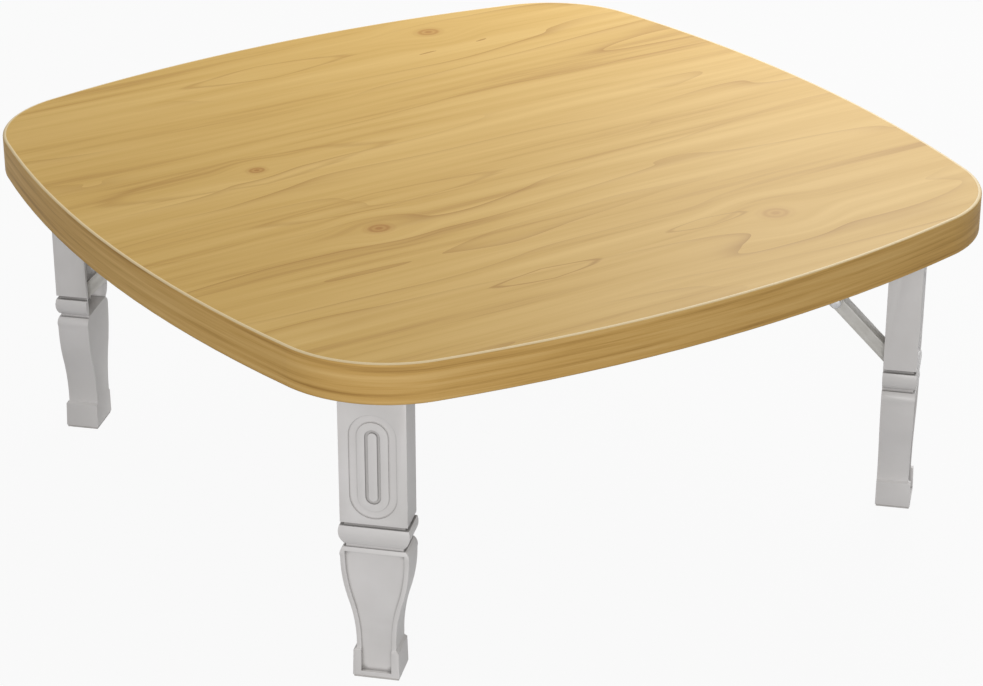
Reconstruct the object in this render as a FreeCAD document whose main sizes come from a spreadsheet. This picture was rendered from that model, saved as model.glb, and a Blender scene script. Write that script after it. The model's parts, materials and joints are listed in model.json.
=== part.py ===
import FreeCAD, Part
import math
import os
import re

import Sketcher

# Folding low table: a square board with bowed sides, on four moulded corner legs.
# Each leg turns about a pin in a bracket under the board, and a two-link stay holds it upright.
# Frame: +Z up, origin on the floor under the middle of the board, board sides along X and Y.
# A leg and its stay are modelled as if the leg stood on +Y, then turned to its corner.
# Reaches are distances from the middle of the board, and all sizes are in millimetres.

SIZES = {
    # board
    "top_width": 700,
    "top_thick": 33,
    "table_height": 287,
    "side_radius": 1188,
    "corner_radius": 103,
    "band_thick": 3,
    "band_round": 2,
    "laminate_thick": 1.2,
    "backing_thick": 0.8,
    # leg hinge, inset from the tip of the board's corner
    "hinge_inset": 56.35,
    "hinge_to_back": 13,
    "hinge_pin_radius": 3,
    "plate_thick": 2,
    "leg_clearance": 0.5,
    "pin_fit": 0.05,
    # leg, upper block and collar, with heights above the knee
    "leg_depth": 28,
    "block_width": 52.6,
    "side_wall": 4.3,
    "front_wall": 4,
    "channel_floor": 10,
    "groove_one": 28,
    "groove_two": 10,
    "groove_width": 3,
    "groove_depth": 2.5,
    "collar_width": 54,
    "collar_foot": 47,
    "collar_bulge": 2.3,
    "collar_crown": 1.2,
    "collar_fall": 0.6,
    # leg, lower part; the knee is above the floor, and the ankle above the foot
    "waist_width": 44.6,
    "shoulder_width": 48,
    "shoulder_bulge": 1.4,
    "knee_width": 53.6,
    "knee_height": 104,
    "ankle_width": 31,
    "ankle_height": 5,
    "ankle_fall": 1.2,
    "foot_width": 36.8,
    "foot_height": 25,
    "foot_step": 1.5,
    "hollow_wall": 3,
    "hollow_roof": 14,
    # leg, mouldings on the front face; the oval is above the first groove
    "oval_width": 37,
    "oval_height": 87,
    "oval_middle": 50,
    "ring_width": 24,
    "bar_width": 7,
    "bead_width": 6,
    "oval_depth": 1.5,
    "panel_border": 3.6,
    "panel_floor": 2.7,
    # foot pad
    "pad_thick": 2,
    "pad_inset": 0.6,
    "plug_height": 6,
    "plug_fit": 0.15,
    # stay; its pin in the leg is above the floor of the channel
    "stay_leg_rise": 7,
    "stay_leg_out": 4,
    "stay_board_reach": 117.5,
    "stay_board_drop": 9,
    "link_height": 11,
    "link_width": 14,
    "link_wall": 1.5,
    "link_gap": 0.3,
    "bar_thick": 2,
    "stay_pin_radius": 2.5,
    "fork_length": 12,
    "bridge_start": 8,
    "bridge_end": 24,
    "ear_thick": 1.5,
    "rib_thick": 2.5,
    "rib_gap": 0.5,
    "rib_margin": 6,
    "rivet_head_radius": 4.5,
    "rivet_head_thick": 1.2,
    # brackets and screws
    "hinge_ear_gap": 2,
    "hinge_ear_thick": 2,
    "hinge_plate_inner": 51,
    "hinge_plate_outer": 2,
    "hinge_screw_far": 43,
    "hinge_screw_near": 21,
    "hinge_screw_side": 12,
    "stay_plate_inner": 1.5,
    "stay_plate_outer": 38,
    "stay_screw_near": 14,
    "stay_screw_far": 31,
    "screw_radius": 1.9,
    "screw_length": 16,
    "screw_head_radius": 3.7,
    "screw_head_thick": 2,
    "screw_fit": 0.3,
}

# The sides of X and Y on which each leg stands
LEG_CORNERS = {"front": (-1, -1), "right": (1, -1), "back": (1, 1), "left": (-1, 1)}
MODELLED_DIRECTION = 90
UP = FreeCAD.Vector(0, 0, 1)
SIDEWAYS = FreeCAD.Vector(1, 0, 0)
CUT_MARGIN = 5
NEARLY_UPRIGHT = 0.99
SAME_PLACE = 1e-6
HALF_ROUND = "half round"

doc = FreeCAD.newDocument("folding_low_table")
sheet = doc.addObject("Spreadsheet::Sheet", "Sizes")
for row, (name, size) in enumerate(SIZES.items(), 1):
    sheet.set(f"A{row}", name)
    sheet.set(f"B{row}", str(size))
    sheet.setAlias(f"B{row}", name)
doc.recompute()

# Places that follow from the sizes
UNDERSIDE = "(table_height - top_thick)"
PLATE_FACE = f"({UNDERSIDE} - plate_thick)"
SIDE_OFFSET = "(side_radius - top_width / 2)"
CORNER_CENTRE = f"((sqrt(2 * (side_radius - corner_radius)^2 - {SIDE_OFFSET}^2) - {SIDE_OFFSET}) / 2)"
HINGE_REACH = f"({CORNER_CENTRE} * sqrt(2) + corner_radius - hinge_inset)"
HINGE_Z = f"({PLATE_FACE} - leg_clearance - hinge_to_back)"
LEG_TOP = f"({HINGE_Z} + hinge_to_back)"
BACK = f"({HINGE_REACH} - hinge_to_back)"
FRONT = f"({BACK} + leg_depth)"
FOOT_FRONT = f"({FRONT} + foot_step)"
GROOVE_ONE = "(knee_height + groove_one)"
GROOVE_TWO = "(knee_height + groove_two)"
ANKLE = "(foot_height + ankle_height)"
CHANNEL_FRONT = f"({FRONT} - front_wall)"
CHANNEL_FLOOR = "(knee_height + channel_floor)"
CHANNEL_HALF = "(block_width / 2 - side_wall)"
HOLLOW_TOP = f"({CHANNEL_FLOOR} - hollow_roof)"
HINGE_EAR_HALF = f"({CHANNEL_HALF} - hinge_ear_gap)"
HINGE_EAR_RADIUS = f"({CHANNEL_FRONT} - {HINGE_REACH} - hinge_ear_gap)"
LEG_PIVOT_Y = f"({HINGE_REACH} + stay_leg_out)"
LEG_PIVOT_Z = f"({CHANNEL_FLOOR} + stay_leg_rise)"
BOARD_PIVOT_Y = f"({HINGE_REACH} - stay_board_reach)"
BOARD_PIVOT_Z = f"({UNDERSIDE} - stay_board_drop)"
STAY_RUN = "(stay_board_reach + stay_leg_out)"
STAY_RISE = f"({BOARD_PIVOT_Z} - {LEG_PIVOT_Z})"
STAY_LENGTH = f"sqrt({STAY_RUN}^2 + {STAY_RISE}^2)"
# The stay is straight when the leg stands. The lower link is level when the leg is folded, and then
# FOLDED_RUN and FOLDED_RISE are what is left between the stay's two ends.
FOLDED_RUN = f"(stay_board_reach - ({HINGE_Z} - {LEG_PIVOT_Z}))"
FOLDED_RISE = f"({BOARD_PIVOT_Z} - {HINGE_Z} + stay_leg_out)"
LOWER_LINK_LENGTH = (
    f"(({STAY_LENGTH}^2 - {FOLDED_RUN}^2 - {FOLDED_RISE}^2) / (2 * ({STAY_LENGTH} + {FOLDED_RUN})))"
)
UPPER_LINK_LENGTH = f"({STAY_LENGTH} - {LOWER_LINK_LENGTH})"
LINK_END = "(link_height / 2)"
BAR_INSIDE = "(link_width / 2 + link_gap)"
BAR_OUTSIDE = f"({BAR_INSIDE} + bar_thick)"
EAR_INSIDE = f"({BAR_OUTSIDE} + link_gap)"
EAR_OUTSIDE = f"({EAR_INSIDE} + ear_thick)"
RIB_INSIDE = f"({EAR_OUTSIDE} + rib_gap)"
RIB_OUTSIDE = f"({RIB_INSIDE} + rib_thick)"


def sized(words):
    """The expression with each size read from the sheet."""
    return re.sub(r"[a-z]+(_[a-z]+)+", lambda found: "Sizes." + found.group(), words)


def number(words):
    return float(sheet.evalExpression(sized(words)))


def sketch_on(body, plane, height="0"):
    """An empty sketch on one of the body's own planes, moved along the plane's normal by height."""
    sketch = body.newObject("Sketcher::SketchObject", f"{body.Name}_sketch")
    planes = {feature.Role: feature for feature in body.Origin.OriginFeatures}
    sketch.AttachmentSupport = (planes[plane], [""])
    sketch.MapMode = "FlatFace"
    sketch.setExpression("AttachmentOffset.Base.z", sized(height))
    return sketch


def bind(sketch, constraint, words):
    index = sketch.addConstraint(constraint)
    sketch.setExpression(f"Constraints[{index}]", sized(words))


def bent_side(start, end, bend, side):
    """The arc from start to end; it bulges to the left of that way where side is 1, to the right at -1."""
    chord = end - start
    half = chord.Length / 2
    rise = half
    if bend != HALF_ROUND:
        rise = number(bend) - math.sqrt(number(bend) ** 2 - half**2)
    left = FreeCAD.Vector(-chord.y, chord.x, 0).normalize()
    return Part.Arc(start, (start + end) / 2 + left * rise * side, end)


def hold_arc(sketch, side, bend, corner, upright):
    """Ties an arc to its radius, or a half-round end to its centre, level with the end's corners."""
    if bend != HALF_ROUND:
        bind(sketch, Sketcher.Constraint("Radius", side, number(bend)), bend)
    elif upright:
        bind(sketch, Sketcher.Constraint("DistanceX", -1, 1, side, 3, number(corner[0])), corner[0])
    else:
        bind(sketch, Sketcher.Constraint("DistanceY", -1, 1, side, 3, number(corner[1])), corner[1])


def outline(sketch, corners):
    """Draws a closed outline. A corner is two sizes, and a radius and a side where an arc leaves it."""
    points = [FreeCAD.Vector(number(c[0]), number(c[1]), 0) for c in corners]
    first = sketch.GeometryCount
    ends = []
    for index, corner in enumerate(corners):
        start = points[index]
        end = points[(index + 1) % len(points)]
        if len(corner) > 2:
            side = sketch.addGeometry(bent_side(start, end, corner[2], corner[3]))
            hold_arc(sketch, side, corner[2], corner, abs(end.x - start.x) < abs(end.y - start.y))
        else:
            side = sketch.addGeometry(Part.LineSegment(start, end))
        starts_first = (sketch.getPoint(side, 1) - start).Length < (sketch.getPoint(side, 2) - start).Length
        ends.append((1, 2) if starts_first else (2, 1))
    for index, corner in enumerate(corners):
        here = (first + index, ends[index][0])
        before = (index - 1) % len(corners)
        sketch.addConstraint(Sketcher.Constraint("Coincident", first + before, ends[before][1], *here))
        bind(sketch, Sketcher.Constraint("DistanceX", -1, 1, *here, points[index].x), corner[0])
        bind(sketch, Sketcher.Constraint("DistanceY", -1, 1, *here, points[index].y), corner[1])


def circle(sketch, across, along, radius):
    centre = FreeCAD.Vector(number(across), number(along), 0)
    ring = sketch.addGeometry(Part.Circle(centre, UP, number(radius)))
    bind(sketch, Sketcher.Constraint("DistanceX", -1, 1, ring, 3, centre.x), across)
    bind(sketch, Sketcher.Constraint("DistanceY", -1, 1, ring, 3, centre.y), along)
    bind(sketch, Sketcher.Constraint("Radius", ring, number(radius)), radius)


def rectangle(low_across, low_up, high_across, high_up):
    return [
        (low_across, low_up),
        (high_across, low_up),
        (high_across, high_up),
        (low_across, high_up),
    ]


def slot(low, high, middle, radius):
    """A long outline with half-round ends, lying along the second direction."""
    return [
        (f"{middle} + {radius}", low),
        (f"{middle} + {radius}", high, HALF_ROUND, -1),
        (f"{middle} - {radius}", high),
        (f"{middle} - {radius}", low, HALF_ROUND, -1),
    ]


def mirrored(right_side):
    """The outline of a piece that is alike on both sides, from its right side, top to bottom."""
    left_side = []
    for index in reversed(range(len(right_side))):
        corner = right_side[index]
        bend = tuple(right_side[index - 1][2:]) if index else ()
        left_side.append((f"-({corner[0]})", corner[1], *bend))
    return right_side + left_side


def pad(body, sketch, length, both_ways=False):
    feature = body.newObject("PartDesign::Pad", f"{body.Name}_pad")
    feature.Profile = sketch
    feature.setExpression("Length", sized(length))
    if both_ways:
        feature.SideType = "Symmetric"
    doc.recompute()
    return feature


def pocket(body, sketch, length=None, backwards=False):
    """Cuts both ways from the sketch: to a width, or right through; or backwards, to a depth."""
    before = body.Tip.Shape.Volume
    feature = body.newObject("PartDesign::Pocket", f"{body.Name}_pocket")
    feature.Profile = sketch
    if length:
        feature.setExpression("Length", sized(length))
    else:
        feature.Type = "ThroughAll"
    if backwards:
        feature.Reversed = True
    else:
        feature.SideType = "Symmetric"
    doc.recompute()
    if not feature.Shape.Volume < before:
        raise RuntimeError(f"{feature.Name} cuts nothing")
    return feature


def drawn(body, plane, *outlines, height="0"):
    sketch = sketch_on(body, plane, height)
    for corners in outlines:
        outline(sketch, corners)
    return sketch


def drilled(body, plane, radius, *centres):
    sketch = sketch_on(body, plane)
    for across, along in centres:
        circle(sketch, across, along, radius)
    return sketch


def new_body(label):
    body = doc.addObject("PartDesign::Body", label)
    body.Label = label
    return body


# Board: core, wood-grain laminate above, plain backing below, and a band round the edge


def board_side(inset):
    """Four bowed sides that meet in points, which the corner radius then rounds."""
    radius = f"(side_radius - {inset})"
    centre = f"(top_width / 2 - {inset} - {radius})"
    corner = f"(({centre} + sqrt(2 * {radius}^2 - {centre}^2)) / 2)"
    return [
        (corner, f"-{corner}", radius, -1),
        (corner, corner, radius, -1),
        (f"-{corner}", corner, radius, -1),
        (f"-{corner}", f"-{corner}", radius, -1),
    ]


def is_upright(edge):
    return isinstance(edge.Curve, Part.Line) and abs(edge.tangentAt(edge.FirstParameter).z) > NEARLY_UPRIGHT


def rounded_uprights(body, base, radius):
    feature = body.newObject("PartDesign::Fillet", f"{body.Name}_corners")
    uprights = [f"Edge{i}" for i, edge in enumerate(base.Shape.Edges, 1) if is_upright(edge)]
    feature.Base = (base, uprights)
    feature.setExpression("Radius", sized(radius))
    doc.recompute()
    return feature


def board_layer(label, inset, low, thick):
    body = new_body(label)
    layer = pad(body, drawn(body, "XY_Plane", board_side(inset), height=low), thick)
    rounded_uprights(body, layer, f"corner_radius - {inset}")
    return body


def edge_band():
    """A bent strip, glued round the three layers, with its two outer edges rounded over."""
    outer = board_layer("band_outside", "0", UNDERSIDE, "top_thick")
    inner = board_layer("band_inside", "band_thick", UNDERSIDE, "top_thick")
    rounded = doc.addObject("Part::Fillet", "band_rounded")
    rounded.Base = outer
    ends = (number(UNDERSIDE), number("table_height"))
    rims = [
        index
        for index, edge in enumerate(outer.Shape.Edges, 1)
        if any(abs(edge.BoundBox.ZMin - end) + abs(edge.BoundBox.ZMax - end) < SAME_PLACE for end in ends)
    ]
    rounded.Edges = [(index, number("band_round"), number("band_round")) for index in rims]
    band = doc.addObject("Part::Cut", "edge_band")
    band.Base = rounded
    band.Tool = inner
    band.Label = "edge_band"
    doc.recompute()
    return band


CORE_LOW = f"({UNDERSIDE} + backing_thick)"
CORE_THICK = "(top_thick - backing_thick - laminate_thick)"
LAMINATE_LOW = "(table_height - laminate_thick)"
board = [
    board_layer("board_core", "band_thick", CORE_LOW, CORE_THICK),
    board_layer("top_laminate", "band_thick", LAMINATE_LOW, "laminate_thick"),
    board_layer("bottom_backing", "band_thick", UNDERSIDE, "backing_thick"),
    edge_band(),
]


# Leg: one moulded shell, open at the back above and closed below

CYMA_RUN = "((knee_width - ankle_width) / 2)"
CYMA_RISE = f"(knee_height - {ANKLE})"
CYMA_RADIUS = f"(({CYMA_RUN}^2 + {CYMA_RISE}^2) / (4 * {CYMA_RUN}))"
CYMA_MIDDLE = f"((knee_height + {ANKLE}) / 2)"
FALL_RADIUS = f"((ankle_fall^2 + {CYMA_RISE}^2) / (4 * ankle_fall))"
FOOT_LEDGE = "(foot_height - foot_step)"
BLOCK_FOOT = f"({GROOVE_ONE} + groove_width / 2)"
COLLAR_TOP = f"({GROOVE_ONE} - groove_width / 2)"
COLLAR_FOOT = f"({GROOVE_TWO} + groove_width / 2)"
SHOULDER_TOP = f"({GROOVE_TWO} - groove_width / 2)"
OVAL_MIDDLE = f"({GROOVE_ONE} + oval_middle)"


def bulged(run, rise, bulge):
    """The radius of an arc over that run and rise, which stands proud of its chord by bulge."""
    return f"((({run})^2 + ({rise})^2) / (8 * {bulge}) + {bulge} / 2)"


def leg_front_outline():
    """The leg seen from its front: block, groove, swelling collar, groove, and a foot that curves in."""
    collar = bulged("(collar_width - collar_foot) / 2", f"{COLLAR_TOP} - {COLLAR_FOOT}", "collar_bulge")
    shoulder = bulged("(knee_width - shoulder_width) / 2", f"{SHOULDER_TOP} - knee_height", "shoulder_bulge")
    return mirrored(
        [
            ("block_width / 2", LEG_TOP),
            ("block_width / 2", BLOCK_FOOT),
            ("block_width / 2 - groove_depth", BLOCK_FOOT),
            ("block_width / 2 - groove_depth", COLLAR_TOP),
            ("collar_width / 2", COLLAR_TOP, collar, 1),
            ("collar_foot / 2", COLLAR_FOOT),
            ("waist_width / 2", COLLAR_FOOT),
            ("waist_width / 2", SHOULDER_TOP),
            ("shoulder_width / 2", SHOULDER_TOP, shoulder, 1),
            ("knee_width / 2", "knee_height", CYMA_RADIUS, 1),
            ("(knee_width + ankle_width) / 4", CYMA_MIDDLE, CYMA_RADIUS, -1),
            ("ankle_width / 2", ANKLE),
            ("ankle_width / 2", "foot_height"),
            ("foot_width / 2 - pad_inset", FOOT_LEDGE),
            ("foot_width / 2", "pad_thick"),
        ]
    )


def leg_front_waste():
    """What is cut off in front, seen from the side, so that the front face has the same mouldings."""
    beyond = f"{FOOT_FRONT} + {CUT_MARGIN}"
    collar = bulged("collar_fall", f"{COLLAR_TOP} - {COLLAR_FOOT}", "collar_crown")
    shoulder = bulged("collar_fall", f"{SHOULDER_TOP} - knee_height", "(shoulder_bulge / 2)")
    return [
        (FRONT, f"{LEG_TOP} + {CUT_MARGIN}"),
        (FRONT, BLOCK_FOOT),
        (f"{FRONT} - groove_depth", BLOCK_FOOT),
        (f"{FRONT} - groove_depth", COLLAR_TOP),
        (FRONT, COLLAR_TOP, collar, 1),
        (f"{FRONT} - collar_fall", COLLAR_FOOT),
        (f"{FRONT} - collar_fall - groove_depth / 2", COLLAR_FOOT),
        (f"{FRONT} - collar_fall - groove_depth / 2", SHOULDER_TOP),
        (f"{FRONT} - collar_fall", SHOULDER_TOP, shoulder, 1),
        (FRONT, "knee_height", FALL_RADIUS, 1),
        (f"{FRONT} - ankle_fall / 2", CYMA_MIDDLE, FALL_RADIUS, -1),
        (f"{FRONT} - ankle_fall", ANKLE),
        (f"{FRONT} - ankle_fall", "foot_height"),
        (f"{FOOT_FRONT} - pad_inset", FOOT_LEDGE),
        (FOOT_FRONT, "pad_thick"),
        (FOOT_FRONT, f"-{CUT_MARGIN}"),
        (beyond, f"-{CUT_MARGIN}"),
        (beyond, f"{LEG_TOP} + {CUT_MARGIN}"),
    ]


def rounded_back_top():
    """The waste above the back of the hinge, which would strike the board as the leg folds."""
    return [
        (f"{BACK} - {CUT_MARGIN}", HINGE_Z),
        (BACK, HINGE_Z, "hinge_to_back", 1),
        (HINGE_REACH, LEG_TOP),
        (HINGE_REACH, f"{LEG_TOP} + {CUT_MARGIN}"),
        (f"{BACK} - {CUT_MARGIN}", f"{LEG_TOP} + {CUT_MARGIN}"),
    ]


def upright_slot(width):
    """A slot in the oval's own place on the front face; its ends stay as far from the oval's ends."""
    reach = "((oval_height - oval_width) / 2)"
    return slot(f"{OVAL_MIDDLE} - {reach}", f"{OVAL_MIDDLE} + {reach}", "0", f"(({width}) / 2)")


def panel_outline():
    """The sunk panel of the lower part, a border's width inside the outline."""
    half_ankle = "(ankle_width / 2 - panel_border)"
    half_knee = "(knee_width / 2 - panel_border)"
    return mirrored(
        [
            (half_knee, f"{SHOULDER_TOP} - panel_border"),
            (half_knee, "knee_height", CYMA_RADIUS, 1),
            (f"({half_knee} + {half_ankle}) / 2", CYMA_MIDDLE, CYMA_RADIUS, -1),
            (half_ankle, ANKLE),
            (half_ankle, "pad_thick + panel_border"),
        ]
    )


def leg_shell(label):
    body = new_body(label)
    front = drawn(body, "XZ_Plane", leg_front_outline(), height=f"-{FOOT_FRONT}")
    pad(body, front, f"{FOOT_FRONT} - {BACK}")
    pocket(body, drawn(body, "YZ_Plane", leg_front_waste()))
    pocket(body, drawn(body, "YZ_Plane", rounded_back_top()))
    behind = f"{BACK} - {CUT_MARGIN}"
    channel = rectangle(behind, CHANNEL_FLOOR, CHANNEL_FRONT, f"{LEG_TOP} + {CUT_MARGIN}")
    pocket(body, drawn(body, "YZ_Plane", channel), f"2 * {CHANNEL_HALF}")
    hollow = rectangle(
        f"{BACK} + hollow_wall",
        f"-{CUT_MARGIN}",
        f"{FRONT} - panel_floor - hollow_wall",
        HOLLOW_TOP,
    )
    pocket(body, drawn(body, "YZ_Plane", hollow), "ankle_width - 2 * hollow_wall")
    for inner, outer in (("ring_width", "oval_width"), ("bar_width", "ring_width - 2 * bead_width")):
        loops = [upright_slot(outer), upright_slot(inner)]
        ring = drawn(body, "XZ_Plane", *loops, height=f"-{FRONT}")
        pocket(body, ring, "oval_depth", backwards=True)
    panel = drawn(body, "XZ_Plane", panel_outline(), height=f"-{FOOT_FRONT}")
    pocket(body, panel, f"{FOOT_FRONT} - {FRONT} + panel_floor", backwards=True)
    rib_low = f"{LEG_PIVOT_Y} - rib_margin"
    rib_high = f"{CHANNEL_FRONT} + rib_gap"
    ribs = [
        rectangle(RIB_INSIDE, rib_low, RIB_OUTSIDE, rib_high),
        rectangle(f"-{RIB_OUTSIDE}", rib_low, f"-{RIB_INSIDE}", rib_high),
    ]
    foot_of_rib = f"({CHANNEL_FLOOR} - rib_gap)"
    rib_sketch = drawn(body, "XY_Plane", *ribs, height=foot_of_rib)
    pad(body, rib_sketch, f"{LEG_PIVOT_Z} + rib_margin - {foot_of_rib}")
    stay_hole = drilled(body, "YZ_Plane", "stay_pin_radius", (LEG_PIVOT_Y, LEG_PIVOT_Z))
    pocket(body, stay_hole, f"2 * ({RIB_OUTSIDE} + rib_gap)")
    hinge_hole = drilled(body, "YZ_Plane", "hinge_pin_radius + pin_fit", (HINGE_REACH, HINGE_Z))
    pocket(body, hinge_hole)
    return body


def foot_pad(label):
    """A glide that closes the hollow foot: a sole, and a plug pressed up into the leg."""
    body = new_body(label)
    sole = rectangle(
        "-(foot_width / 2 - pad_inset)",
        f"{BACK} + pad_inset",
        "foot_width / 2 - pad_inset",
        f"{FOOT_FRONT} - pad_inset",
    )
    pad(body, drawn(body, "XY_Plane", sole), "pad_thick")
    half_plug = "(ankle_width / 2 - hollow_wall - plug_fit)"
    plug = rectangle(
        f"-{half_plug}",
        f"{BACK} + hollow_wall + plug_fit",
        half_plug,
        f"{FRONT} - panel_floor - hollow_wall - plug_fit",
    )
    pad(body, drawn(body, "XY_Plane", plug), "pad_thick + plug_height")
    return body


def cross_pin(label, radius, half_length, along, up):
    """A plain round pin that lies across the leg."""
    body = new_body(label)
    pad(body, drilled(body, "YZ_Plane", radius, (along, up)), f"2 * {half_length}", both_ways=True)
    return body


# Brackets: pressed steel, a plate under the board with two ears turned down


def hinge_bracket(label):
    body = new_body(label)
    side = [
        (f"{HINGE_REACH} - hinge_plate_inner", UNDERSIDE),
        (f"{HINGE_REACH} - hinge_plate_inner", PLATE_FACE),
        (f"{HINGE_REACH} - {HINGE_EAR_RADIUS}", PLATE_FACE),
        (f"{HINGE_REACH} - {HINGE_EAR_RADIUS}", HINGE_Z, HALF_ROUND, -1),
        (f"{HINGE_REACH} + {HINGE_EAR_RADIUS}", HINGE_Z),
        (f"{HINGE_REACH} + {HINGE_EAR_RADIUS}", PLATE_FACE),
        (f"{HINGE_REACH} + {HINGE_EAR_RADIUS} + hinge_plate_outer", PLATE_FACE),
        (f"{HINGE_REACH} + {HINGE_EAR_RADIUS} + hinge_plate_outer", UNDERSIDE),
    ]
    pad(body, drawn(body, "YZ_Plane", side), f"2 * {HINGE_EAR_HALF}", both_ways=True)
    between = rectangle(
        f"{HINGE_REACH} - 2 * {HINGE_EAR_RADIUS}",
        f"{HINGE_Z} - 2 * {HINGE_EAR_RADIUS}",
        f"{HINGE_REACH} + 2 * {HINGE_EAR_RADIUS}",
        PLATE_FACE,
    )
    pocket(body, drawn(body, "YZ_Plane", between), f"2 * ({HINGE_EAR_HALF} - hinge_ear_thick)")
    pocket(body, drilled(body, "YZ_Plane", "hinge_pin_radius", (HINGE_REACH, HINGE_Z)))
    holes = drilled(body, "XY_Plane", "screw_radius + screw_fit", *hinge_screws())
    pocket(body, holes)
    return body


def hinge_screws():
    reaches = (f"{HINGE_REACH} - hinge_screw_far", f"{HINGE_REACH} - hinge_screw_near")
    return [(side, reach) for reach in reaches for side in ("-hinge_screw_side", "hinge_screw_side")]


def stay_screws():
    return [("0", f"{BOARD_PIVOT_Y} + {reach}") for reach in ("stay_screw_near", "stay_screw_far")]


def stay_bracket(label):
    body = new_body(label)
    side = [
        (f"{BOARD_PIVOT_Y} - {LINK_END} - stay_plate_inner", UNDERSIDE),
        (f"{BOARD_PIVOT_Y} - {LINK_END} - stay_plate_inner", PLATE_FACE),
        (f"{BOARD_PIVOT_Y} - {LINK_END}", PLATE_FACE),
        (f"{BOARD_PIVOT_Y} - {LINK_END}", BOARD_PIVOT_Z, HALF_ROUND, -1),
        (f"{BOARD_PIVOT_Y} + {LINK_END}", BOARD_PIVOT_Z),
        (f"{BOARD_PIVOT_Y} + {LINK_END}", PLATE_FACE),
        (f"{BOARD_PIVOT_Y} + stay_plate_outer", PLATE_FACE),
        (f"{BOARD_PIVOT_Y} + stay_plate_outer", UNDERSIDE),
    ]
    pad(body, drawn(body, "YZ_Plane", side), f"2 * {EAR_OUTSIDE}", both_ways=True)
    between = rectangle(
        f"{BOARD_PIVOT_Y} - link_height",
        f"{BOARD_PIVOT_Z} - link_height",
        f"{BOARD_PIVOT_Y} + link_height",
        PLATE_FACE,
    )
    pocket(body, drawn(body, "YZ_Plane", between), f"2 * {EAR_INSIDE}")
    pocket(body, drilled(body, "YZ_Plane", "stay_pin_radius", (BOARD_PIVOT_Y, BOARD_PIVOT_Z)))
    pocket(body, drilled(body, "XY_Plane", "screw_radius + screw_fit", *stay_screws()))
    return body


# Stay: a channel link on the leg, and a forked link on the board that straddles it


def link_side(length):
    """A link seen from the side, with its first pivot at the origin and its second along +Y."""
    return [
        ("0", f"-{LINK_END}"),
        (length, f"-{LINK_END}", HALF_ROUND, -1),
        (length, LINK_END),
        ("0", LINK_END, HALF_ROUND, -1),
    ]


def lower_link(label):
    """A pressed channel. Its web is on the -Z side, and is cut back to a fork at the leg's pin."""
    body = new_body(label)
    pad(body, drawn(body, "YZ_Plane", link_side(LOWER_LINK_LENGTH)), "link_width", both_ways=True)
    inside = "link_width - 2 * link_wall"
    beyond = f"{LOWER_LINK_LENGTH} + link_height"
    trough = rectangle("-link_height", f"link_wall - {LINK_END}", beyond, "link_height")
    pocket(body, drawn(body, "YZ_Plane", trough), inside)
    fork = rectangle("-link_height", "-link_height", "fork_length", "link_height")
    pocket(body, drawn(body, "YZ_Plane", fork), inside)
    holes = drilled(body, "YZ_Plane", "stay_pin_radius + pin_fit", ("0", "0"), (LOWER_LINK_LENGTH, "0"))
    pocket(body, holes)
    return body


def upper_link(label):
    """Two bars joined by a bridge near the board's pin. The bridge is on the +Z side."""
    body = new_body(label)
    pad(body, drawn(body, "YZ_Plane", link_side(UPPER_LINK_LENGTH)), f"2 * {BAR_OUTSIDE}", both_ways=True)
    beyond = f"{UPPER_LINK_LENGTH} + link_height"
    between = [
        ("-link_height", "-link_height"),
        (beyond, "-link_height"),
        (beyond, "link_height"),
        ("bridge_end", "link_height"),
        ("bridge_end", f"{LINK_END} - link_wall"),
        ("bridge_start", f"{LINK_END} - link_wall"),
        ("bridge_start", "link_height"),
        ("-link_height", "link_height"),
    ]
    pocket(body, drawn(body, "YZ_Plane", between), f"2 * {BAR_INSIDE}")
    pocket(body, drilled(body, "YZ_Plane", "stay_pin_radius + pin_fit", ("0", "0")))
    pocket(body, drilled(body, "YZ_Plane", "stay_pin_radius", (UPPER_LINK_LENGTH, "0")))
    return body


def round_bar(label, radius, length, start, direction):
    bar = doc.addObject("Part::Cylinder", label)
    bar.setExpression("Radius", sized(radius))
    bar.setExpression("Height", sized(length))
    bar.Placement = FreeCAD.Placement(start, FreeCAD.Rotation(UP, direction))
    return bar


def fused(label, pieces):
    whole = doc.addObject("Part::MultiFuse", label)
    whole.Shapes = pieces
    return whole


def group(label, pieces):
    """One sub-part of several separate solids."""
    whole = doc.addObject("Part::Compound", label)
    whole.Links = pieces
    whole.Label = label
    doc.recompute()
    return whole


def middle_rivet(label):
    """The rivet that joins the links, one half in each bar of the upper link."""
    halves = []
    for way in (1, -1):
        inner = SIDEWAYS * way * number(BAR_INSIDE) + FreeCAD.Vector(0, number(UPPER_LINK_LENGTH), 0)
        outer = SIDEWAYS * way * number(BAR_OUTSIDE) + FreeCAD.Vector(0, number(UPPER_LINK_LENGTH), 0)
        shank = round_bar(f"{label}_shank", "stay_pin_radius", "bar_thick", inner, SIDEWAYS * way)
        head = round_bar(f"{label}_head", "rivet_head_radius", "rivet_head_thick", outer, SIDEWAYS * way)
        halves.append(fused(f"{label}_half", [shank, head]))
    return group(label, halves)


def bracket_screws(label):
    """The wood screws of both brackets of one leg, driven up into the board."""
    screws = []
    for across, reach in hinge_screws() + stay_screws():
        face = FreeCAD.Vector(number(across), number(reach), number(PLATE_FACE))
        shank = round_bar(f"{label}_shank", "screw_radius", "screw_length", face, UP)
        head = round_bar(f"{label}_head", "screw_head_radius", "screw_head_thick", face, -UP)
        screws.append(fused(f"{label}_screw", [shank, head]))
    return group(label, screws)


# The four legs with their stays, each turned to its corner

HINGE_PIN_HALF = "(block_width / 2 - leg_clearance)"
STAY_TILT = math.degrees(math.atan2(number(STAY_RISE), number(STAY_RUN)))
HALF_TURN = 180

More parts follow.
